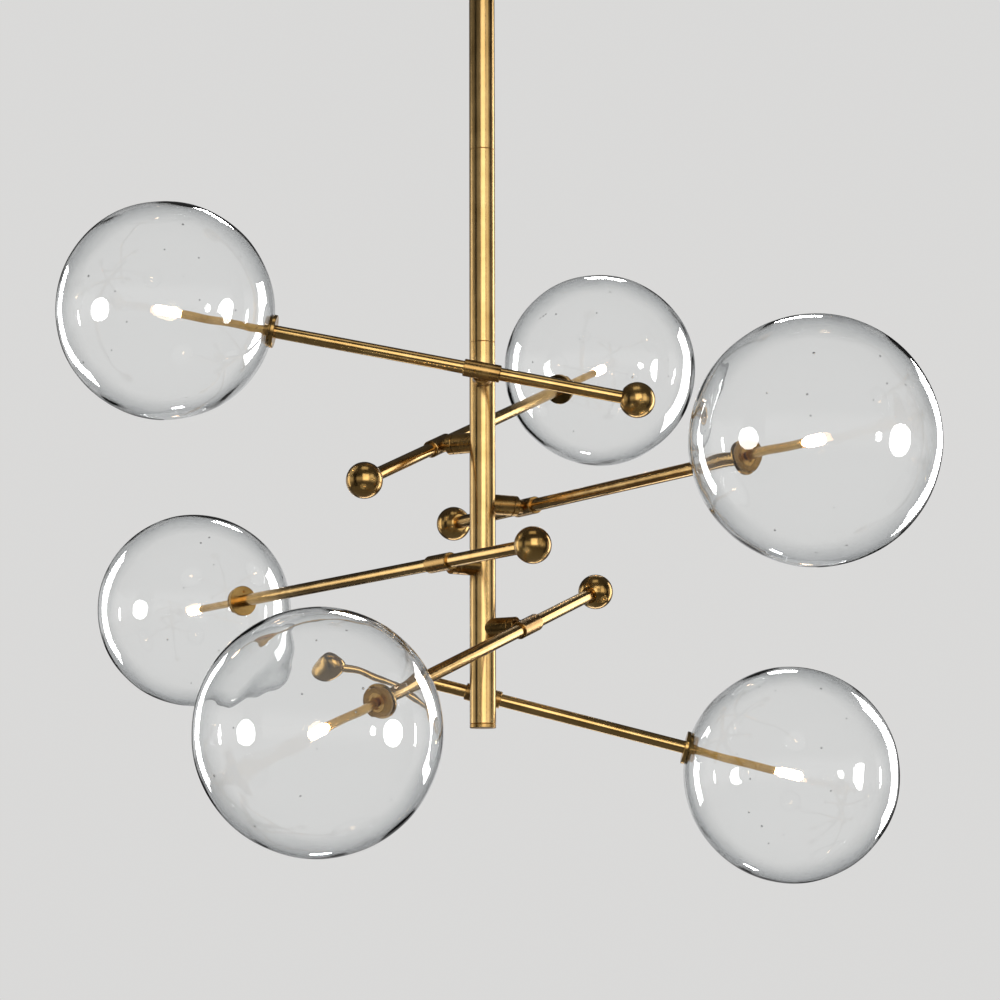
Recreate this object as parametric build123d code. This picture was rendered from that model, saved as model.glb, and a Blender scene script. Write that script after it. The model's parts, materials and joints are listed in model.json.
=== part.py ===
from build123d import *
import math
import os

# Six glass globes on tilting, counterweighted arms around one hanging column.
# The origin is the middle of the ceiling face, and everything hangs below it.

# Column and stem, all one tube size
tube_diameter = 24.0
tube_wall = 2.0
column_top_margin = 35.0
stem_section_height = 184.0
stem_section_count = 3
seam_chamfer = 0.5
joiner_length = 26.0
joiner_wall = 3.0
cap_thickness = 4.0
cap_plug_depth = 8.0
cap_edge_chamfer = 0.6

# Ceiling bracket
bracket_thickness = 3.0
bracket_half_length = 56.0
bracket_width = 24.0
bracket_tab_depth = 17.0
bracket_tab_thickness = 3.0
bracket_corner = 5.0
hub_diameter = 32.0
hub_height = 12.0
mount_hole_spacing = 70.0
mount_hole_diameter = 5.5

# Canopy and its two side screws
canopy_diameter = 120.0
canopy_wall = 1.5
canopy_depth = 26.0
canopy_corner = 7.0
canopy_rim_bead = 1.2
canopy_hole_clearance = 0.15
canopy_screw_drop = 11.0
canopy_screw_diameter = 4.0
canopy_screw_head_diameter = 8.0
canopy_screw_head_height = 3.0
canopy_screw_seat = 0.2
canopy_screw_slot_width = 1.0
canopy_screw_slot_depth = 1.2

# Bosses on the column
boss_diameter = 19.0
boss_reach = 29.3
boss_spigot_diameter = 14.0
boss_edge_chamfer = 0.5

# Swivels, one on each boss
swivel_gap = 0.3
swivel_spigot_diameter = 10.0
swivel_spigot_clearance = 0.05
swivel_wire_bore = 5.0
sleeve_offset = 46.5
sleeve_diameter = 16.0
sleeve_length = 34.0
sleeve_chamfer = 0.6
head_length = 6.0
neck_diameter = 13.0
groove_offset = 7.0
groove_width = 3.2
groove_depth = 1.2

# Grub screws that keep the swivels in their bosses
grub_diameter = 4.0
grub_recess = 0.5
grub_socket_size = 1.6
grub_socket_depth = 2.0
grub_shoulder_gap = 0.4
grub_tip_diameter = 2.4
grub_tip_gap = 0.3

# Arms
rod_diameter = 12.0
rod_wall = 1.5
short_reach = 295.0
medium_reach = 368.0
long_reach = 462.0
lowest_pivot_height = 33.0
pivot_spacing = 58.0

# Counterweights
ball_diameter = 33.0
ball_distance = 144.0
ball_socket_depth = 11.0
ball_ring_diameter = 16.0
ball_ring_depth = 1.6

# Globes
globe_diameter = 200.0
globe_wall = 3.0
globe_hole_diameter = 24.5

# Flanges outside the globes
flange_diameter = 30.5
flange_thickness = 3.2
flange_chamfer = 0.4
flange_step_clearance = 0.2
flange_rod_seat = 5.0
flange_neck_diameter = 16.0
flange_mouth_diameter = 11.0
flange_mouth_depth = 2.5
flange_screw_hole = 2.6
flange_screw_hole_depth = 2.0
flange_screw_hole_offset = 9.2

# Clamp nuts inside the globes
nut_diameter = 28.0
nut_thickness = 4.6
nut_band = 2.4
nut_top_diameter = 21.0
nut_flats = 23.4
nut_face_clearance = 0.05
nut_neck_recess = 0.6

# Lamp tubes and bulbs
lamp_tube_diameter = 7.5
lamp_tube_wall = 1.0
lamp_tube_seat = 13.0
lamp_tube_end = 15.5
lamp_tube_plug = 7.0
lamp_vent_diameter = 1.6
lamp_vent_offset = 7.0
bulb_diameter = 9.0
bulb_length = 27.0
bulb_base_width = 6.4
bulb_base_length = 4.0
pin_diameter = 1.0
pin_spacing = 4.0
pin_length = 5.0
pin_clearance = 0.05

# Heading of each swivel, tilt of each rod with the globe end up, reach
arms = [
    (-90.0, 11.0, short_reach),
    (152.0, 20.5, medium_reach),
    (29.0, -0.5, long_reach),
    (-145.0, -0.5, long_reach),
    (-29.0, -18.0, medium_reach),
    (90.0, -14.5, short_reach),
]

# Sizes that follow from the ones above
tube_radius = tube_diameter / 2
tube_bore = tube_radius - tube_wall
rod_radius = rod_diameter / 2
ball_radius = ball_diameter / 2
globe_radius = globe_diameter / 2
globe_inner = globe_radius - globe_wall
hole_radius = globe_hole_diameter / 2
column_height = lowest_pivot_height + (len(arms) - 1) * pivot_spacing + column_top_margin
stem_top = -(bracket_thickness + hub_height)
column_top = stem_top - stem_section_count * stem_section_height
column_bottom = column_top - column_height
boss_bore = swivel_spigot_diameter / 2 + swivel_spigot_clearance
head_start = boss_reach + swivel_gap
groove_place = boss_reach - groove_offset
flange_face = math.sqrt(globe_radius**2 - hole_radius**2)
nut_face = math.sqrt(globe_inner**2 - (nut_diameter / 2) ** 2) - nut_face_clearance
nut_top = nut_face - nut_thickness
rod_end_gap = flange_face + flange_thickness - flange_rod_seat
neck_end = nut_top + nut_neck_recess


def ring(outer_radius, inner_radius, height):
    """A tube standing on the ground plane."""
    outside = Cylinder(outer_radius, height, align=(Align.CENTER, Align.CENTER, Align.MIN))
    inside = Cylinder(inner_radius, height, align=(Align.CENTER, Align.CENTER, Align.MIN))
    return outside - inside


def bar(radius, start, end):
    """A round bar along Z from start to end."""
    length = end - start
    shape = Cylinder(radius, length, align=(Align.CENTER, Align.CENTER, Align.MIN))
    return Pos(0, 0, start) * shape


def across(radius, start, end):
    """A round bar along X from start to end."""
    return Rot(0, 90, 0) * bar(radius, start, end)


def chamfered_tube(outer_radius, inner_radius, height, chamfer_size):
    """A tube whose two outer end edges are broken, made by turning its half section."""
    c = chamfer_size
    outline = Polyline(
        (inner_radius, 0),
        (outer_radius - c, 0),
        (outer_radius, c),
        (outer_radius, height - c),
        (outer_radius - c, height),
        (inner_radius, height),
        close=True,
    )
    return turned(outline)


def turned(outline):
    """Turns a closed outline, drawn as radius and height, about Z."""
    face = Plane.XZ * make_face(outline)
    return revolve(face, Axis.Z)


def pivot_height(number):
    """Height of an arm's pivot; arm 1 is the highest."""
    return column_bottom + lowest_pivot_height + (len(arms) - number) * pivot_spacing


def boss_frame(number):
    """Frame on the column axis with X along the boss."""
    heading = math.radians(arms[number - 1][0])
    outward = (math.cos(heading), math.sin(heading), 0)
    return Plane(origin=(0, 0, pivot_height(number)), x_dir=outward, z_dir=(0, 0, 1)).location


def arm_frame(number):
    """Frame at the sleeve with X away from the column and Z along the rod to the globe."""
    heading = math.radians(arms[number - 1][0])
    tilt = math.radians(arms[number - 1][1])
    outward = (math.cos(heading), math.sin(heading), 0)
    along = (
        math.cos(tilt) * math.sin(heading),
        -math.cos(tilt) * math.cos(heading),
        math.sin(tilt),
    )
    place = (
        sleeve_offset * outward[0],
        sleeve_offset * outward[1],
        pivot_height(number),
    )
    return Plane(origin=place, x_dir=outward, z_dir=along).location


def ceiling_bracket():
    """A strap with bent-down ends and a threaded hub in its middle."""
    strap = Box(
        2 * bracket_half_length,
        bracket_width,
        bracket_thickness,
        align=(Align.CENTER, Align.CENTER, Align.MAX),
    )
    tab = Box(
        bracket_tab_thickness,
        bracket_width,
        bracket_tab_depth,
        align=(Align.MAX, Align.CENTER, Align.MAX),
    )
    tab = fillet(tab.edges().filter_by(Axis.X).group_by(Axis.Z)[0], bracket_corner)
    right = Pos(bracket_half_length, 0, 0) * tab
    left = Rot(0, 0, 180) * right
    strap += right + left
    bends = strap.edges().filter_by(Axis.Y).group_by(Axis.Z)[-1]
    body = fillet(bends, bracket_thickness / 2) + bar(hub_diameter / 2, stem_top, 0)
    body -= bar(tube_bore, stem_top, 0)
    for side in (-1, 1):
        hole = bar(mount_hole_diameter / 2, -bracket_thickness, 0)
        body -= Pos(side * mount_hole_spacing / 2, 0, 0) * hole
    body -= Pos(0, 0, -canopy_screw_drop) * across(
        canopy_screw_diameter / 2, -bracket_half_length, bracket_half_length
    ) - bar(hub_diameter / 2, stem_top, 0)
    return body


def canopy():
    """A turned cover with a rolled rim and a hole for the stem."""
    outer = canopy_diameter / 2
    hole = tube_radius + canopy_hole_clearance
    corner = canopy_corner
    inner_corner = corner - canopy_wall
    lip = outer + canopy_rim_bead
    section = BuildSketch(Plane.XZ)
    with section:
        with BuildLine():
            Line((hole, -canopy_depth), (outer - corner, -canopy_depth))
            RadiusArc((outer - corner, -canopy_depth), (outer, corner - canopy_depth), -corner)
            Line((outer, corner - canopy_depth), (outer, -canopy_rim_bead))
            Line((outer, -canopy_rim_bead), (lip, -canopy_rim_bead))
            Line((lip, -canopy_rim_bead), (lip, 0))
            Line((lip, 0), (outer - canopy_wall, 0))
            Line((outer - canopy_wall, 0), (outer - canopy_wall, corner - canopy_depth))
            RadiusArc(
                (outer - canopy_wall, corner - canopy_depth),
                (outer - corner, canopy_wall - canopy_depth),
                inner_corner,
            )
            Line((outer - corner, canopy_wall - canopy_depth), (hole, canopy_wall - canopy_depth))
            Line((hole, canopy_wall - canopy_depth), (hole, -canopy_depth))
        make_face()
    shell = revolve(section.sketch, Axis.Z)
    shank = across(canopy_screw_diameter / 2, -lip, lip)
    core = bar(bracket_half_length, -canopy_depth, 0)
    return shell - (Pos(0, 0, -canopy_screw_drop) * shank - core)


def canopy_screws():
    """Two slotted screws through the canopy's side into the bracket's ends."""
    head_start_place = canopy_diameter / 2 + canopy_screw_seat
    head_end = head_start_place + canopy_screw_head_height
    tip = bracket_half_length - bracket_tab_thickness
    head = across(canopy_screw_head_diameter / 2, head_start_place, head_end)
    head = chamfer(head.edges().group_by(Axis.X)[-1], canopy_screw_slot_width / 2)
    screw = head + across(canopy_screw_diameter / 2, tip, head_start_place)
    slot = Box(
        canopy_screw_slot_depth,
        canopy_screw_head_diameter,
        canopy_screw_slot_width,
        align=(Align.MAX, Align.CENTER, Align.CENTER),
    )
    screw -= Pos(head_end, 0, 0) * slot
    screw = Pos(0, 0, -canopy_screw_drop) * screw
    return [screw, Rot(0, 0, 180) * screw]


def stem_section(order):
    """One plain length of stem; order 0 is the top one."""
    bottom = stem_top - (order + 1) * stem_section_height
    tube = chamfered_tube(tube_radius, tube_bore, stem_section_height, seam_chamfer)
    return Pos(0, 0, bottom) * tube


def stem_joiners():
    """A threaded nipple inside each seam of the stem, and one up into the bracket."""
    nipple = ring(tube_bore, tube_bore - joiner_wall, joiner_length)
    pieces = []
    for seam in range(stem_section_count + 1):
        middle = stem_top - seam * stem_section_height
        pieces.append(Pos(0, 0, middle - joiner_length / 2) * nipple)
    return pieces


def column():
    """The lower tube, with a side hole for each boss."""
    length = column_height - cap_thickness
    tube = chamfered_tube(tube_radius, tube_bore, length, seam_chamfer)
    tube = Pos(0, 0, column_bottom + cap_thickness) * tube
    for number in range(1, len(arms) + 1):
        tube -= boss_frame(number) * across(boss_spigot_diameter / 2, 0, tube_diameter)
    return tube


def column_cap():
    """The end cap, with a broken edge at its seam and a plug in the tube."""
    disc = chamfered_tube(tube_radius, 0, cap_thickness, cap_edge_chamfer)
    plug = bar(tube_bore, cap_thickness, cap_thickness + cap_plug_depth)
    return Pos(0, 0, column_bottom) * (disc + plug)


def bosses():
    """Six bored bosses, saddled on the column and let into its wall."""
    pieces = []
    for number in range(1, len(arms) + 1):
        barrel = across(boss_diameter / 2, 0, boss_reach)
        barrel = chamfer(barrel.edges().group_by(Axis.X)[-1], boss_edge_chamfer)
        barrel -= bar(tube_radius, -boss_diameter, boss_diameter)
        wall = bar(tube_radius, -boss_diameter, boss_diameter)
        barrel += across(boss_spigot_diameter / 2, tube_bore, boss_reach) & wall
        barrel -= across(boss_bore, 0, boss_reach)
        barrel -= Pos(groove_place, 0, 0) * bar(grub_diameter / 2, -boss_diameter, 0)
        pieces.append(boss_frame(number) * barrel)
    return pieces


def pivot_screws():
    """Six grub screws whose tips run in the grooves of the swivel spigots."""
    groove_floor = swivel_spigot_diameter / 2 - groove_depth
    outside = boss_diameter / 2 - grub_recess
    shoulder = swivel_spigot_diameter / 2 + grub_shoulder_gap
    body = bar(grub_diameter / 2, -outside, -shoulder)
    body += bar(grub_tip_diameter / 2, -shoulder, -(groove_floor + grub_tip_gap))
    hexagon = extrude(RegularPolygon(grub_socket_size / 2, 6), grub_socket_depth)
    body -= Pos(0, 0, -outside) * hexagon
    pieces = []
    for number in range(1, len(arms) + 1):
        pieces.append(boss_frame(number) * Pos(groove_place, 0, 0) * body)
    return pieces


def swivel(number):
    """The turning head with its spigot and neck, and the sleeve that holds the rod."""
    spigot_radius = swivel_spigot_diameter / 2
    head = across(boss_diameter / 2, head_start, head_start + head_length)
    head = chamfer(head.edges().filter_by(GeomType.CIRCLE), boss_edge_chamfer)
    head += across(neck_diameter / 2, head_start, sleeve_offset)
    spigot = across(spigot_radius, tube_bore, head_start)
    groove = across(spigot_radius, groove_place - groove_width / 2, groove_place + groove_width / 2)
    groove -= across(spigot_radius - groove_depth, 0, head_start)
    turning = Pos(-sleeve_offset, 0, 0) * (head + spigot - groove)
    sleeve = chamfered_tube(sleeve_diameter / 2, 0, sleeve_length, sleeve_chamfer)
    body = turning + Pos(0, 0, -sleeve_length / 2) * sleeve
    body -= bar(rod_radius, -sleeve_length, sleeve_length)
    body -= across(swivel_wire_bore / 2, -sleeve_offset, 0)
    return arm_frame(number) * body


def arm_rod(number):
    """The tube through the sleeve, from the counterweight to the flange."""
    reach = arms[number - 1][2]
    start = -(ball_distance - ball_radius + ball_socket_depth)
    end = reach - rod_end_gap
    rod = bar(rod_radius, start, end) - bar(rod_radius - rod_wall, start, end)
    rod -= across(swivel_wire_bore / 2, -rod_diameter, 0)
    return arm_frame(number) * rod


def counterweight(number):
    """The ball on the short end of the rod, with a sunk ring round the rod."""
    mouth = ball_radius - ball_ring_depth
    ball = Sphere(ball_radius)
    ball -= bar(rod_radius, ball_radius - ball_socket_depth, ball_diameter)
    ball -= bar(ball_ring_diameter / 2, mouth - ball_ring_depth, ball_diameter)
    return arm_frame(number) * Pos(0, 0, -ball_distance) * ball


def globe_frame(number):
    """Frame at the globe's centre, with Z back along the rod to the pivot."""
    reach = arms[number - 1][2]
    return arm_frame(number) * Pos(0, 0, reach) * Rot(180, 0, 0)


def globe(number):
    """A blown glass ball with one round hole."""
    shell = Sphere(globe_radius) - Sphere(globe_inner)
    shell -= bar(hole_radius, 0, globe_diameter)
    return globe_frame(number) * shell


def flange(number):
    """The outer disc on the rod's end, with a step that centres it and a neck."""
    outer_face = flange_face + flange_thickness
    step_radius = hole_radius - flange_step_clearance
    disc = bar(flange_diameter / 2, flange_face, outer_face)
    disc = chamfer(disc.edges().group_by(Axis.Z)[-1], flange_chamfer)
    body = disc + bar(step_radius, nut_face, flange_face)
    body += bar(flange_neck_diameter / 2, neck_end, nut_face)
    body -= bar(flange_mouth_diameter / 2, neck_end, neck_end + flange_mouth_depth)
    body -= bar(rod_radius, rod_end_gap, outer_face)
    body -= bar(lamp_tube_diameter / 2, 0, outer_face)
    hole = bar(flange_screw_hole / 2, outer_face - flange_screw_hole_depth, outer_face)
    body -= Pos(0, -flange_screw_hole_offset, 0) * hole
    return globe_frame(number) * body


def clamp_nut(number):
    """The low domed nut inside the globe, with two flats so that it goes in edgeways."""
    wide = nut_diameter / 2
    narrow = nut_top_diameter / 2
    hole = flange_neck_diameter / 2
    section = BuildSketch(Plane.XZ)
    with section:
        with BuildLine():
            Line((hole, nut_top), (hole, nut_face))
            Line((hole, nut_face), (wide, nut_face))
            Line((wide, nut_face), (wide, nut_face - nut_band))
            EllipticalCenterArc(
                (narrow, nut_face - nut_band),
                wide - narrow,
                nut_thickness - nut_band,
                start_angle=270,
                arc_size=90,
            )
            Line((narrow, nut_top), (hole, nut_top))
        make_face()
    nut = revolve(section.sketch, Axis.Z)
    keep = Box(
        nut_diameter,
        nut_flats,
        nut_thickness,
        align=(Align.CENTER, Align.CENTER, Align.MIN),
    )
    return globe_frame(number) * (nut & (Pos(0, 0, nut_top) * keep))


def lamp_tube(number):
    """The thin tube inside the globe, closed at its end by the bulb's socket."""
    start = lamp_tube_end
    end = neck_end + lamp_tube_seat
    tube = bar(lamp_tube_diameter / 2, start, end)
    tube -= bar(lamp_tube_diameter / 2 - lamp_tube_wall, start + lamp_tube_plug, end)
    for side in (-1, 1):
        hole = bar(pin_diameter / 2 + pin_clearance, start, start + lamp_tube_plug)
        tube -= Pos(side * pin_spacing / 2, 0, 0) * hole
    vent = across(lamp_vent_diameter / 2, 0, lamp_tube_diameter)
    tube -= Pos(0, 0, neck_end - lamp_vent_offset) * vent
    return globe_frame(number) * tube


def bulb(number):
    """A capsule bulb with a pressed base and two pins."""
    tip = lamp_tube_end - bulb_length
    radius = bulb_diameter / 2
    shoulder = lamp_tube_end - bulb_base_length
    capsule = bar(radius, tip + radius, shoulder) + Pos(0, 0, tip + radius) * Sphere(radius)
    base = Box(
        bulb_base_width,
        bulb_base_width / 2,
        bulb_base_length,
        align=(Align.CENTER, Align.CENTER, Align.MAX),
    )
    shape = capsule + Pos(0, 0, lamp_tube_end) * base
    for side in (-1, 1):
        pin = bar(pin_diameter / 2, shoulder, lamp_tube_end + pin_length)
        shape += Pos(side * pin_spacing / 2, 0, 0) * pin
    return globe_frame(number) * shape


def save(shape, name):
    """Writes one node; a list of solids becomes one group."""
    if isinstance(shape, list):
        shape = Compound([piece.solid() for piece in shape])
    export_step(shape, f"parts/{name}.step")


os.makedirs("parts", exist_ok=True)

save(ceiling_bracket(), "ceiling_bracket")
save(canopy(), "canopy")
save(canopy_screws(), "canopy_screws")
save(stem_section(0), "stem_upper")
save(stem_section(1), "stem_middle")
save(stem_section(2), "stem_lower")
save(stem_joiners(), "stem_joiners")
save(column(), "column")
save(column_cap(), "column_cap")
save(bosses(), "bosses")
save(pivot_screws(), "pivot_screws")
for arm_number in range(1, len(arms) + 1):
    save(swivel(arm_number), f"swivel_{arm_number}")
    save(arm_rod(arm_number), f"rod_{arm_number}")
    save(counterweight(arm_number), f"counterweight_{arm_number}")
    save(globe(arm_number), f"globe_{arm_number}")
    save(flange(arm_number), f"flange_{arm_number}")
    save(clamp_nut(arm_number), f"clamp_nut_{arm_number}")
    save(lamp_tube(arm_number), f"lamp_tube_{arm_number}")
    save(bulb(arm_number), f"bulb_{arm_number}")
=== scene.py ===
"""A globe chandelier: six clear glass globes on balanced brass arms round a column."""

import bpy
import bmesh
import json
import math
import random
from mathutils import Matrix, Vector, noise as smooth_noise

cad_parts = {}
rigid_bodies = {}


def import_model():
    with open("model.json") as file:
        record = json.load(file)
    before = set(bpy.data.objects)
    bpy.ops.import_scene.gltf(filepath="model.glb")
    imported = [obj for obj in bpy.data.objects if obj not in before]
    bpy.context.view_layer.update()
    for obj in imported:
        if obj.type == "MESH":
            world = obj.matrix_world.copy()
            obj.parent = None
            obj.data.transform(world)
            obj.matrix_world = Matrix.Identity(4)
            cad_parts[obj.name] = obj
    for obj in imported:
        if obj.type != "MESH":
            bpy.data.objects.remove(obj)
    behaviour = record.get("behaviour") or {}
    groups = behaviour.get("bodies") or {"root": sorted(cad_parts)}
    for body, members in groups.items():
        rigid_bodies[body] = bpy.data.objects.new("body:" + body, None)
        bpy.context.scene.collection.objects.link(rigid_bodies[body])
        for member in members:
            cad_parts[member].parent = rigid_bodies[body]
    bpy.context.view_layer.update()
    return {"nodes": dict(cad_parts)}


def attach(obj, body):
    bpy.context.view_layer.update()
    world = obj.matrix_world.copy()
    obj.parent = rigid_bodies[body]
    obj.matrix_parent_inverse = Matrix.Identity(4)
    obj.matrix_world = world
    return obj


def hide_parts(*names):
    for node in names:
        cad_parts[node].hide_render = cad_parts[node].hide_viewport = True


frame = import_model()

MM = 0.001
ARM_NUMBERS = range(1, 7)

# Sizes shared with the solids, in millimetres
COLUMN_BOTTOM = -925.0
LOWEST_PIVOT = 33.0
PIVOT_SPACING = 58.0
SLEEVE_OFFSET = 46.5
GLOBE_RADIUS = 99.97
GLOBE_WALL = 3.0
HOLE_RADIUS = 12.25
LAMP_TUBE_END = 15.5
BULB_RADIUS = 4.5
BULB_LENGTH = 27.0
HEADINGS = (-90.0, 152.0, 29.0, -145.0, -29.0, 90.0)
TILTS = (11.0, 20.5, -0.5, -0.5, -18.0, -14.5)
REACHES = (295.0, 368.0, 462.0, 462.0, 368.0, 295.0)

# Fineness of the meshes, and the radius in millimetres that counts as none
SHARP_ANGLE = math.radians(40)
CAD_SHARP_ANGLE = math.radians(35)
PIECE_TURNS = 48
GLOBE_TURNS = 128
GLOBE_STEPS = 90
TIP_STEPS = 16
SEED_FINENESS = 2
NO_RADIUS = 1e-6

# Radius and depth of each ring of the bulb's pressed base, in millimetres
BULB_BASE = (
    (2.6, 0.0),
    (3.0, 0.4),
    (3.1, 3.0),
    (BULB_RADIUS - 0.3, 4.6),
    (BULB_RADIUS, 5.6),
)

# Air bubbles in each globe's wall: how many, their span of height and their radii
SEED_COUNT = 22
SEED_SPAN = (-0.95, 0.85)
SEED_RADII = (0.4, 1.2)

# Waves of each globe's wall: how many to a radius and how deep in millimetres, for the whole
# wall and then for its thickness. They fade in past the hole, by angle from its middle, and
# the last number sets each globe's waves apart from the others'.
WALL_WAVES = ((1.1, 0.75), (2.3, 0.45), (4.7, 0.18))
THICKNESS_WAVES = ((2.9, 0.42), (6.0, 0.09))
WAVES_FROM = math.radians(14)
WAVES_OVER = math.radians(20)
WAVES_APART = 7.3

# Camera, as measured from the photograph
CAMERA_PLACE = (16.1, -2558.5, COLUMN_BOTTOM - 153.7)
CAMERA_PITCH = 8.1
CAMERA_ROLL = -0.142
CAMERA_LENS = 100.76
CAMERA_SENSOR = 36.0


def make_camera():
    """The photograph's viewpoint."""
    data = bpy.data.cameras.new("camera")
    data.lens = CAMERA_LENS
    data.sensor_width = CAMERA_SENSOR
    camera = bpy.data.objects.new("camera", data)
    bpy.context.scene.collection.objects.link(camera)
    pitch = math.radians(CAMERA_PITCH)
    roll = math.radians(CAMERA_ROLL)
    forward = Vector((0, math.cos(pitch), math.sin(pitch)))
    level_up = Vector((0, -math.sin(pitch), math.cos(pitch)))
    level_right = Vector((1, 0, 0))
    right = level_right * math.cos(roll) + level_up * math.sin(roll)
    up = level_up * math.cos(roll) - level_right * math.sin(roll)
    turn = Matrix((right, up, -forward)).transposed()
    camera.matrix_world = Matrix.Translation(Vector(CAMERA_PLACE) * MM) @ turn.to_4x4()
    bpy.context.scene.camera = camera


def arm_matrix(number):
    """Places a piece drawn with Z along the rod to the globe and X away from the column."""
    heading = math.radians(HEADINGS[number - 1])
    tilt = math.radians(TILTS[number - 1])
    outward = Vector((math.cos(heading), math.sin(heading), 0))
    along = Vector(
        (
            math.cos(tilt) * math.sin(heading),
            -math.cos(tilt) * math.cos(heading),
            math.sin(tilt),
        )
    )
    side = along.cross(outward)
    height = COLUMN_BOTTOM + LOWEST_PIVOT + (len(HEADINGS) - number) * PIVOT_SPACING
    place = outward * SLEEVE_OFFSET + Vector((0, 0, height))
    turn = Matrix((outward, side, along)).transposed()
    return Matrix.Translation(place * MM) @ turn.to_4x4()


def globe_matrix(number):
    """Places a piece drawn round the globe's centre, with Z back along the rod."""
    reach = REACHES[number - 1] * MM
    return arm_matrix(number) @ Matrix.Translation((0, 0, reach)) @ Matrix.Rotation(math.pi, 4, "X")


def add_object(name, mesh, matrix, body):
    """A finished piece in its place, riding on its body."""
    mesh.transform(matrix)
    piece = bpy.data.objects.new(name, mesh)
    bpy.context.scene.collection.objects.link(piece)
    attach(piece, body)
    return piece


def lathe(name, profile, turns):
    """A mesh made by turning (radius, height) points in millimetres about Z."""
    bm = bmesh.new()
    rings = []
    for radius, height in profile:
        if radius < NO_RADIUS:
            rings.append([bm.verts.new((0, 0, height * MM))])
            continue
        ring = []
        for step in range(turns):
            angle = 2 * math.pi * step / turns
            x = radius * math.cos(angle) * MM
            y = radius * math.sin(angle) * MM
            ring.append(bm.verts.new((x, y, height * MM)))
        rings.append(ring)
    closed = profile[0] == profile[-1]
    if closed:
        for vert in rings[-1]:
            bm.verts.remove(vert)
        rings[-1] = rings[0]
    for low, high in zip(rings, rings[1:]):
        for step in range(turns):
            after = (step + 1) % turns
            if len(low) == 1:
                bm.faces.new((low[0], high[after], high[step]))
            elif len(high) == 1:
                bm.faces.new((low[step], low[after], high[0]))
            else:
                bm.faces.new((low[step], low[after], high[after], high[step]))
    bmesh.ops.recalc_face_normals(bm, faces=bm.faces)
    mesh = bpy.data.meshes.new(name)
    bm.to_mesh(mesh)
    bm.free()
    mesh.shade_smooth()
    mesh.set_sharp_from_angle(angle=SHARP_ANGLE)
    return mesh


def arc(centre_radius, centre_height, radius, start, end, steps):
    """Points on a circular arc of a profile, angles in degrees."""
    points = []
    for step in range(steps + 1):
        angle = math.radians(start + (end - start) * step / steps)
        points.append((
            centre_radius + radius * math.cos(angle),
            centre_height + radius * math.sin(angle),
        ))
    return points


make_camera()


# Brass finishes: light and dark tone, lowest and highest roughness, depth of the grain,
# share of the fine streaks and how far they are drawn out along Z
BRASS_FINISHES = {
    "brass_tube": ((0.60, 0.395, 0.16), (0.44, 0.272, 0.095), 0.17, 0.26, 0.03, 0.35, 0.02),
    "brass_rod": ((0.62, 0.405, 0.158), (0.46, 0.28, 0.094), 0.15, 0.22, 0.012, 0.15, 1.0),
    # The turned pieces' darker tones are painted shade. Their rougher gloss is their own finish.
    "brass_turned": ((0.47, 0.285, 0.098), (0.27, 0.15, 0.045), 0.20, 0.32, 0.05, 0.15, 1.0),
    # The nut's tones are darker than the other brass. That darkness is painted shade, not a
    # different metal.
    "brass_nut_painted_shade": ((0.36, 0.21, 0.07), (0.20, 0.11, 0.035), 0.15, 0.26, 0.05, 0.15, 1.0),
    "brass_ball": ((0.57, 0.36, 0.125), (0.37, 0.215, 0.066), 0.16, 0.27, 0.05, 0.15, 1.0),
}
BLOTCH_SCALE = 42.0
BLOTCH_DETAIL = 6.0
BLOTCH_ROUGHNESS = 0.6
STREAK_SCALE = 900.0
STREAK_DETAIL = 2.0
BRASS_TONES = (0.36, 0.62)
BRASS_GLOSS = (0.35, 0.65)
GRAIN_DEPTH = 0.0001

# Plated steel finishes: colour and lowest roughness
STEEL_FINISHES = {
    "zinc_plate": ((0.60, 0.60, 0.61), 0.35),
    "dark_steel": ((0.30, 0.30, 0.31), 0.40),
}
STEEL_SCALE = 160.0
STEEL_DETAIL = 6.0
STEEL_TONES = (0.3, 0.7)
STEEL_SHADE = 0.8
STEEL_GLOSS_RANGE = 0.15

# Clear glass, and the painted shade that darkens it towards its edge
GLASS_CLEAR = (0.985, 0.99, 0.99, 1)
GLASS_EDGE_PAINTED_SHADE = (0.42, 0.45, 0.47, 1)
GLASS_TONES = (0.42, 0.93)
GLASS_BLEND = 0.5
GLASS_IOR = 1.5

# Lit bulb: surface, strength, and colour along it from its base to its tip
BULB_SURFACE = (1.0, 0.95, 0.88, 1)
BULB_ROUGHNESS = 0.2
BULB_STRENGTH = 40.0
BULB_TONES = (
    (0.0, (0.9, 0.42, 0.16)),
    (0.35, (1.0, 0.80, 0.56)),
    (1.0, (1.0, 0.66, 0.38)),
)


def new_material(name):
    """A material with its nodes, its links and its shader."""
    material = bpy.data.materials.new(name)
    material.use_nodes = True
    nodes = material.node_tree.nodes
    links = material.node_tree.links
    shader = nodes["Principled BSDF"]
    return material, nodes, links, shader


def noise(nodes, links, vector, scale, detail):
    """A noise texture read at the given coordinates."""
    texture = nodes.new("ShaderNodeTexNoise")
    texture.inputs["Scale"].default_value = scale
    texture.inputs["Detail"].default_value = detail
    links.new(vector, texture.inputs["Vector"])
    return texture


def ramp(nodes, links, factor, stops):
    """A colour ramp through stops of (position, colour), in order."""
    tones = nodes.new("ShaderNodeValToRGB")
    stops = list(stops)
    for element, (position, colour) in zip(tones.color_ramp.elements, (stops[0], stops[-1])):
        element.position = position
        element.color = (*colour[:3], 1)
    for position, colour in stops[1:-1]:
        tones.color_ramp.elements.new(position).color = (*colour[:3], 1)
    links.new(factor, tones.inputs["Fac"])
    return tones


def bump(nodes, links, height, strength, distance, shader):
    """Raises the shader's surface by a height."""
    raised = nodes.new("ShaderNodeBump")
    raised.inputs["Strength"].default_value = strength
    raised.inputs["Distance"].default_value = distance
    links.new(height, raised.inputs["Height"])
    links.new(raised.outputs["Normal"], shader.inputs["Normal"])


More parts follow.
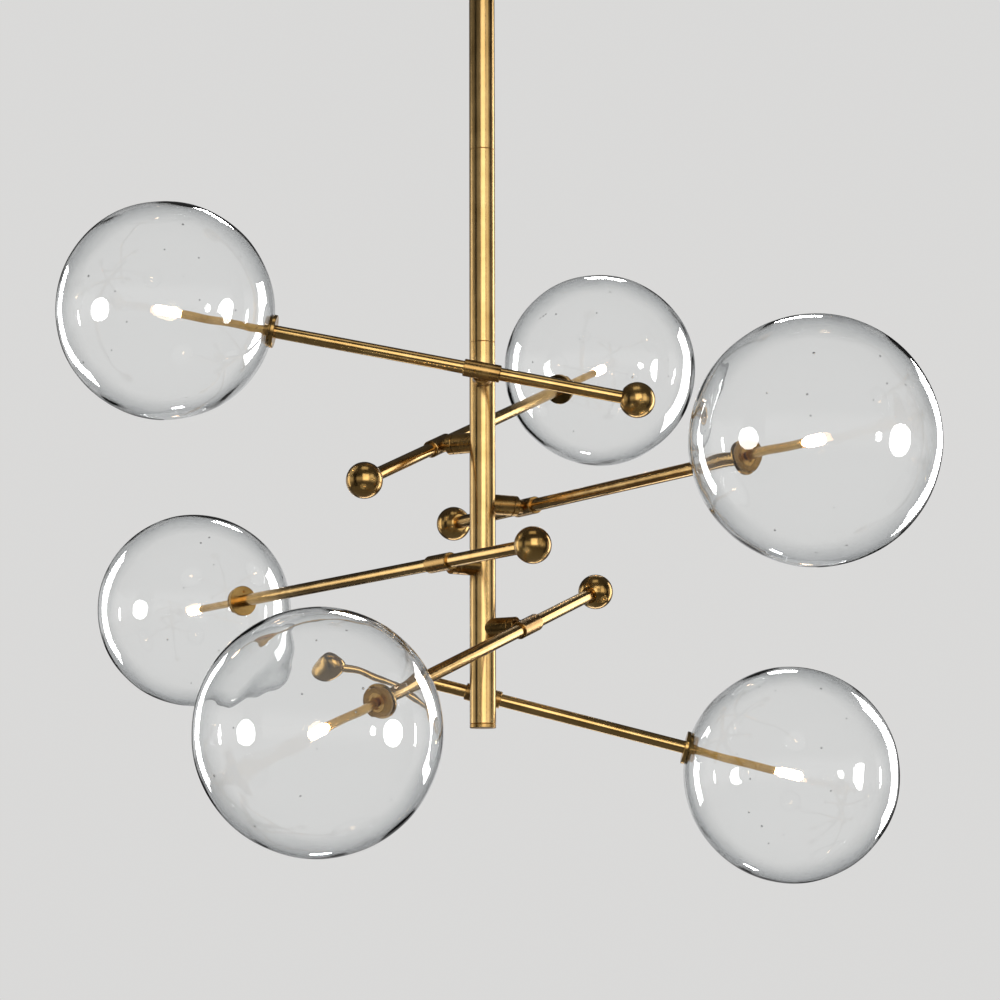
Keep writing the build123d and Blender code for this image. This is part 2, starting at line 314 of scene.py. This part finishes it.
def brass(name):
    """Aged satin brass: warm mottling, fine drawn streaks and slightly uneven gloss."""
    light, dark, rough_low, rough_high, grain, fine, stretch = BRASS_FINISHES[name]
    material, nodes, links, shader = new_material(name)
    shader.inputs["Metallic"].default_value = 1.0
    place = nodes.new("ShaderNodeTexCoord").outputs["Object"]
    blotch = noise(nodes, links, place, BLOTCH_SCALE, BLOTCH_DETAIL)
    blotch.inputs["Roughness"].default_value = BLOTCH_ROUGHNESS
    drawn = nodes.new("ShaderNodeMapping")
    drawn.inputs["Scale"].default_value = (1, 1, stretch)
    links.new(place, drawn.inputs["Vector"])
    streak = noise(nodes, links, drawn.outputs["Vector"], STREAK_SCALE, STREAK_DETAIL)
    both = nodes.new("ShaderNodeMix")
    both.inputs["Factor"].default_value = fine
    links.new(blotch.outputs["Fac"], both.inputs["A"])
    links.new(streak.outputs["Fac"], both.inputs["B"])
    worn = both.outputs["Result"]
    tone = ramp(nodes, links, worn, zip(BRASS_TONES, (dark, light)))
    links.new(tone.outputs["Color"], shader.inputs["Base Color"])
    gloss = nodes.new("ShaderNodeMapRange")
    gloss.inputs["From Min"].default_value, gloss.inputs["From Max"].default_value = BRASS_GLOSS
    gloss.inputs["To Min"].default_value = rough_low
    gloss.inputs["To Max"].default_value = rough_high
    links.new(worn, gloss.inputs["Value"])
    links.new(gloss.outputs["Result"], shader.inputs["Roughness"])
    bump(nodes, links, streak.outputs["Fac"], grain, GRAIN_DEPTH, shader)
    return material


def steel(name):
    """Plated steel with a fine even grain."""
    colour, rough = STEEL_FINISHES[name]
    material, nodes, links, shader = new_material(name)
    shader.inputs["Metallic"].default_value = 1.0
    place = nodes.new("ShaderNodeTexCoord").outputs["Object"]
    grain = noise(nodes, links, place, STEEL_SCALE, STEEL_DETAIL).outputs["Fac"]
    shade = [part * STEEL_SHADE for part in colour]
    tone = ramp(nodes, links, grain, zip(STEEL_TONES, (shade, colour)))
    links.new(tone.outputs["Color"], shader.inputs["Base Color"])
    gloss = nodes.new("ShaderNodeMapRange")
    gloss.inputs["To Min"].default_value = rough
    gloss.inputs["To Max"].default_value = rough + STEEL_GLOSS_RANGE
    links.new(grain, gloss.inputs["Value"])
    links.new(gloss.outputs["Result"], shader.inputs["Roughness"])
    return material


def clear_glass():
    """Blown clear glass, with painted shade that darkens it towards its edge."""
    material, nodes, links, shader = new_material("clear_glass")
    # The layer weight paints shade into the glass colour where the surface turns edge-on.
    edge = nodes.new("ShaderNodeLayerWeight")
    edge.inputs["Blend"].default_value = GLASS_BLEND
    stops = zip(GLASS_TONES, (GLASS_CLEAR, GLASS_EDGE_PAINTED_SHADE))
    painted_rim_shade = ramp(nodes, links, edge.outputs["Facing"], stops)
    links.new(painted_rim_shade.outputs["Color"], shader.inputs["Base Color"])
    shader.inputs["Roughness"].default_value = 0.0
    shader.inputs["IOR"].default_value = GLASS_IOR
    shader.inputs["Transmission Weight"].default_value = 1.0
    return material


def bulb_glow():
    """The lit capsule: white hot in its middle, warmer towards both ends."""
    material, nodes, links, shader = new_material("bulb_glow")
    shader.inputs["Base Color"].default_value = BULB_SURFACE
    shader.inputs["Roughness"].default_value = BULB_ROUGHNESS
    shader.inputs["Emission Strength"].default_value = BULB_STRENGTH
    along = nodes.new("ShaderNodeAttribute")
    along.attribute_name = "along"
    tone = ramp(nodes, links, along.outputs["Fac"], BULB_TONES)
    links.new(tone.outputs["Color"], shader.inputs["Emission Color"])
    return material


brass_tube = brass("brass_tube")
brass_rod = brass("brass_rod")
brass_turned = brass("brass_turned")
brass_nut_painted_shade = brass("brass_nut_painted_shade")
brass_ball = brass("brass_ball")
zinc_plate = steel("zinc_plate")
dark_steel = steel("dark_steel")
glass = clear_glass()
glow = bulb_glow()


def paint(node, material):
    """Gives a carried-over solid its material and smooth shading."""
    piece = frame["nodes"][node]
    piece.data.materials.clear()
    piece.data.materials.append(material)
    piece.data.shade_smooth()
    piece.data.set_sharp_from_angle(angle=CAD_SHARP_ANGLE)


for node in ("canopy", "stem_upper", "stem_middle", "stem_lower", "column"):
    paint(node, brass_tube)
for node in ("canopy_screws", "column_cap", "bosses", "stem_joiners"):
    paint(node, brass_turned)
paint("ceiling_bracket", zinc_plate)
paint("pivot_screws", dark_steel)
for number in ARM_NUMBERS:
    paint(f"rod_{number}", brass_rod)
    paint(f"lamp_tube_{number}", brass_rod)
    paint(f"counterweight_{number}", brass_ball)
    paint(f"flange_{number}", brass_ball)
    paint(f"clamp_nut_{number}", brass_nut_painted_shade)
    paint(f"swivel_{number}", brass_turned)


def wave_height(place, waves):
    """How far the waves raise the wall at a place on a ball of radius one, in metres."""
    return sum(deep * smooth_noise.noise(place * count) for count, deep in waves) * MM


def make_waves(bm, number):
    """The slight waves and uneven thickness of a blown wall, which leave its hole true."""
    apart = Vector((WAVES_APART * number, 0, 0))
    axis = Vector((0, 0, 1))
    for vert in bm.verts:
        way = vert.co.normalized()
        past_hole = (way.angle(axis) - WAVES_FROM) / WAVES_OVER
        share = min(max(past_hole, 0), 1)
        depth = (GLOBE_RADIUS * MM - vert.co.length) / (GLOBE_WALL * MM)
        height = wave_height(way + apart, WALL_WAVES)
        height += depth * wave_height(way - apart, THICKNESS_WAVES)
        vert.co += way * height * share


def add_seeds(bm, number):
    """A few tiny air bubbles caught in the wall of a globe."""
    chance = random.Random(number)
    middle = GLOBE_RADIUS - GLOBE_WALL / 2
    for _ in range(SEED_COUNT):
        height = chance.uniform(*SEED_SPAN)
        angle = chance.uniform(0, 2 * math.pi)
        across = math.sqrt(1 - height * height)
        spot = Vector((across * math.cos(angle), across * math.sin(angle), height)) * middle
        size = chance.uniform(*SEED_RADII)
        made = bmesh.ops.create_icosphere(
            bm,
            subdivisions=SEED_FINENESS,
            radius=size * MM,
            matrix=Matrix.Translation(spot * MM),
        )
        faces = {face for vert in made["verts"] for face in vert.link_faces}
        bmesh.ops.reverse_faces(bm, faces=list(faces))


def globe_piece(number):
    """A blown ball with a hole for the lamp, slight waves and a few air bubbles."""
    outer = GLOBE_RADIUS
    inner = GLOBE_RADIUS - GLOBE_WALL
    lip = math.degrees(math.asin(HOLE_RADIUS / outer))
    profile = arc(0, 0, outer, 90 - lip, -90, GLOBE_STEPS)
    profile[-1] = (0, -outer)
    inner_lip = math.degrees(math.asin(HOLE_RADIUS / inner))
    inside = arc(0, 0, inner, -90, 90 - inner_lip, GLOBE_STEPS)
    inside[0] = (0, -inner)
    shell = lathe("globe_outside", profile, GLOBE_TURNS)
    lining = lathe("globe_inside", inside, GLOBE_TURNS)
    bm = bmesh.new()
    bm.from_mesh(shell)
    bm.from_mesh(lining)
    rims = [edge for edge in bm.edges if edge.is_boundary]
    bmesh.ops.bridge_loops(bm, edges=rims)
    bmesh.ops.recalc_face_normals(bm, faces=bm.faces)
    add_seeds(bm, number)
    make_waves(bm, number)
    mesh = bpy.data.meshes.new(f"glass_{number}")
    bm.to_mesh(mesh)
    bm.free()
    bpy.data.meshes.remove(shell)
    bpy.data.meshes.remove(lining)
    mesh.shade_smooth()
    mesh.set_sharp_from_angle(angle=SHARP_ANGLE)
    mesh.materials.append(glass)
    piece = add_object(
        f"glass_{number}", mesh, globe_matrix(number), f"arm_{number}"
    )
    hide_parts(f"globe_{number}")


def bulb_piece(number):
    """A lit capsule with a round tip and a pressed base."""
    top = LAMP_TUBE_END
    tip = top - BULB_LENGTH
    profile = [(0, top)]
    profile += [(radius, top - depth) for radius, depth in BULB_BASE]
    profile += arc(0, tip + BULB_RADIUS, BULB_RADIUS, 0, -90, TIP_STEPS)
    profile[-1] = (0, tip)
    mesh = lathe(f"capsule_{number}", profile, PIECE_TURNS)
    along = mesh.attributes.new("along", "FLOAT", "POINT")
    for vert in mesh.vertices:
        along.data[vert.index].value = (top * MM - vert.co.z) / (BULB_LENGTH * MM)
    mesh.materials.append(glow)
    piece = add_object(
        f"capsule_{number}", mesh, globe_matrix(number), f"arm_{number}"
    )
    piece.visible_glossy = False  # the globe would mirror the lit bulb beside its tip
    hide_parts(f"bulb_{number}")


for number in ARM_NUMBERS:
    globe_piece(number)
    bulb_piece(number)


# Stage, in metres: the floor's height and size and where it fades, then the backdrop and the fill
FLOOR_HEIGHT = -2.6
FLOOR_RADIUS = 14.0
FLOOR_FADES_FROM = 3.0
FLOOR_GONE_AT = 13.0
FLOOR_TURNS = 96
FLOOR_COLOUR = (0.72, 0.71, 0.70, 1)
FLOOR_ROUGHNESS = 0.9
BACKDROP = 0.70
BACKDROP_COLOUR = (1.0, 0.995, 0.985, 1)
FILL_COLOUR = (0.97, 0.985, 1.0, 1)
FILL = 0.85

# Tone of the room that gloss reflects, from straight down to straight up
ROOM_TONES = (
    (0.0, 0.22),
    (0.18, 0.22),
    (0.33, 0.10),
    (0.44, 0.40),
    (0.48, 0.95),
    (0.58, 0.95),
    (0.66, 0.05),
    (1.0, 0.10),
)

# Height that the lights aim at, in metres
LIGHT_AIM = -0.72

# Each light: name, azimuth from the camera's side, height above the aim, distance, width,
# height of its face, power and shape
METAL_LIGHTS = (
    ("key", 10, 0.55, 2.6, 1.8, 1.8, 24, "RECTANGLE"),
    ("half", 48, 0.5, 2.6, 1.1, 1.8, 7, "RECTANGLE"),
    ("rim", 124, 0.1, 2.4, 0.7, 2.4, 20, "RECTANGLE"),
    ("left", -108, 0.1, 2.4, 0.6, 1.8, 6, "RECTANGLE"),
    ("overhead", 0, 2.6, 0.8, 1.4, 1.0, 4, "RECTANGLE"),
    ("under_back", 166, -1.5, 1.9, 2.4, 0.5, 12, "RECTANGLE"),
)
GLASS_LIGHTS = (
    ("glint_left", -64, -0.45, 9.0, 3.3, 3.0, 490, "ELLIPSE"),
    ("glint_right", 73, -0.45, 9.0, 3.6, 3.5, 600, "ELLIPSE"),
    ("spark_right", 50, -0.35, 9.0, 1.1, 1.3, 70, "ELLIPSE"),
    ("spark_far_right", 102, -0.35, 9.0, 0.7, 2.2, 75, "ELLIPSE"),
    ("spark_far_left", -96, -0.35, 9.0, 0.6, 1.6, 50, "ELLIPSE"),
    ("streak_right", 132, 0.1, 2.4, 0.80, 2.2, 104, "RECTANGLE"),
    ("streak_left", -130, 0.1, 2.4, 0.50, 2.0, 56, "RECTANGLE"),
    ("back_top", 174, 4.1, 5.0, 1.2, 0.9, 130, "RECTANGLE"),
    ("back_low", 187, -1.6, 1.75, 0.24, 0.16, 9, "RECTANGLE"),
)

# Each dark card: name, azimuth, distance, width and height. The left one stands behind the
# left glint, which it would hide from the globes if it stood nearer.
DARK_CARDS = (
    ("card_left", -58, 9.8, 3.8, 14.5),
    ("card_right", 86, 2.3, 0.7, 3.4),
    ("card_back", 158, 2.6, 0.8, 3.4),
    ("card_far", -158, 2.6, 0.8, 3.4),
)
CARD_COLOUR = (0.02, 0.02, 0.02, 1)


def mixed(nodes, links, factor, plain, chosen):
    """A shader that turns from the plain one to the chosen one with the factor."""
    mix = nodes.new("ShaderNodeMixShader")
    links.new(factor, mix.inputs["Fac"])
    links.new(plain, mix.inputs[1])
    links.new(chosen, mix.inputs[2])
    return mix.outputs["Shader"]


def make_floor():
    """A large pale round floor that fades into the backdrop far away."""
    bm = bmesh.new()
    bmesh.ops.create_circle(bm, cap_ends=True, segments=FLOOR_TURNS, radius=FLOOR_RADIUS)
    mesh = bpy.data.meshes.new("floor")
    bm.to_mesh(mesh)
    bm.free()
    floor = bpy.data.objects.new("floor", mesh)
    floor.location = (0, 0, FLOOR_HEIGHT)
    floor.visible_glossy = False
    bpy.context.scene.collection.objects.link(floor)
    material, nodes, links, shader = new_material("floor")
    shader.inputs["Base Color"].default_value = FLOOR_COLOUR
    shader.inputs["Roughness"].default_value = FLOOR_ROUGHNESS
    place = nodes.new("ShaderNodeTexCoord")
    distance = nodes.new("ShaderNodeVectorMath")
    distance.operation = "LENGTH"
    links.new(place.outputs["Object"], distance.inputs[0])
    fade = nodes.new("ShaderNodeMapRange")
    fade.inputs["From Min"].default_value = FLOOR_FADES_FROM
    fade.inputs["From Max"].default_value = FLOOR_GONE_AT
    links.new(distance.outputs["Value"], fade.inputs["Value"])
    clear = nodes.new("ShaderNodeBsdfTransparent")
    whole = mixed(
        nodes, links, fade.outputs["Result"], shader.outputs["BSDF"], clear.outputs["BSDF"]
    )
    links.new(whole, nodes["Material Output"].inputs["Surface"])
    mesh.materials.append(material)


def room_tone(nodes, links):
    """The room's grey by direction, from straight down to straight up."""
    place = nodes.new("ShaderNodeTexCoord")
    split = nodes.new("ShaderNodeSeparateXYZ")
    links.new(place.outputs["Generated"], split.inputs["Vector"])
    height = nodes.new("ShaderNodeMapRange")
    height.inputs["From Min"].default_value = -1.0
    links.new(split.outputs["Z"], height.inputs["Value"])
    stops = [(position, (tone, tone, tone)) for position, tone in ROOM_TONES]
    return ramp(nodes, links, height.outputs["Result"], stops).outputs["Color"]


def ray_share(nodes, links, operation, first, second):
    """One when a ray's two kinds, added or taken off, say so."""
    ray = nodes.new("ShaderNodeLightPath")
    share = nodes.new("ShaderNodeMath")
    share.operation = operation
    share.use_clamp = True
    links.new(ray.outputs[first], share.inputs[0])
    links.new(ray.outputs[second], share.inputs[1])
    return share.outputs["Value"]


def make_world():
    """A pale even backdrop, a plain fill light, and for gloss a room darker above and below."""
    world = bpy.data.worlds.new("world")
    bpy.context.scene.world = world
    world.use_nodes = True
    nodes = world.node_tree.nodes
    links = world.node_tree.links
    fill = nodes["Background"]
    fill.inputs["Color"].default_value = FILL_COLOUR
    fill.inputs["Strength"].default_value = FILL
    pale = nodes.new("ShaderNodeBackground")
    pale.inputs["Color"].default_value = BACKDROP_COLOUR
    pale.inputs["Strength"].default_value = BACKDROP
    room = nodes.new("ShaderNodeBackground")
    room.inputs["Strength"].default_value = BACKDROP
    links.new(room_tone(nodes, links), room.inputs["Color"])
    seen = ray_share(nodes, links, "MAXIMUM", "Is Camera Ray", "Is Transmission Ray")
    reflected = ray_share(nodes, links, "SUBTRACT", "Is Glossy Ray", "Is Transmission Ray")
    straight = mixed(
        nodes, links, seen, fill.outputs["Background"], pale.outputs["Background"]
    )
    whole = mixed(nodes, links, reflected, straight, room.outputs["Background"])
    links.new(whole, nodes["World Output"].inputs["Surface"])


def place_round(piece, azimuth, distance, height):
    """Puts an object round the aim, azimuth 0 on the camera's side."""
    angle = math.radians(azimuth)
    piece.location = (
        math.sin(angle) * distance,
        -math.cos(angle) * distance,
        LIGHT_AIM + height,
    )


def soft_light(row, lit):
    """An area light that lights one set of pieces, and isn't seen through the glass."""
    name, azimuth, height, distance, width, tall, power, shape = row
    data = bpy.data.lights.new(name, "AREA")
    data.shape = shape
    data.size = width
    data.size_y = tall
    data.energy = power
    light = bpy.data.objects.new(name, data)
    place_round(light, azimuth, distance, height)
    towards = Vector((0, 0, LIGHT_AIM)) - light.location
    light.rotation_euler = towards.to_track_quat("-Z", "Y").to_euler()
    light.visible_camera = False
    light.visible_transmission = False
    light.light_linking.receiver_collection = lit
    bpy.context.scene.collection.objects.link(light)


def dark_card(name, azimuth, distance, width, tall):
    """A dark card that only gloss sees, which gives the metal its dark edges."""
    mesh = bpy.data.meshes.new(name)
    across = width / 2
    up = tall / 2
    corners = [(-across, 0, -up), (across, 0, -up), (across, 0, up), (-across, 0, up)]
    mesh.from_pydata(corners, [], [(0, 1, 2, 3)])
    card = bpy.data.objects.new(name, mesh)
    place_round(card, azimuth, distance, 0)
    card.rotation_euler = (0, 0, math.radians(azimuth))
    card.visible_camera = False
    card.visible_diffuse = False
    card.visible_transmission = False
    card.visible_shadow = False
    bpy.context.scene.collection.objects.link(card)
    material, nodes, links, shader = new_material(name)
    shader.inputs["Base Color"].default_value = CARD_COLOUR
    shader.inputs["Roughness"].default_value = 1.0
    shader.inputs["Specular IOR Level"].default_value = 0.0
    mesh.materials.append(material)


def receivers(name, glassy):
    """The set of the glass meshes, or of all the others."""
    group = bpy.data.collections.new(name)
    for piece in bpy.context.scene.objects:
        if piece.type == "MESH" and piece.name.startswith("glass_") == glassy:
            group.objects.link(piece)
    return group


bpy.context.scene.view_settings.view_transform = "Standard"
solids = receivers("solid_pieces", False)
blown = receivers("blown_pieces", True)
make_floor()
make_world()
for row in METAL_LIGHTS:
    soft_light(row, solids)
for row in GLASS_LIGHTS:
    soft_light(row, blown)
for row in DARK_CARDS:
    dark_card(*row)
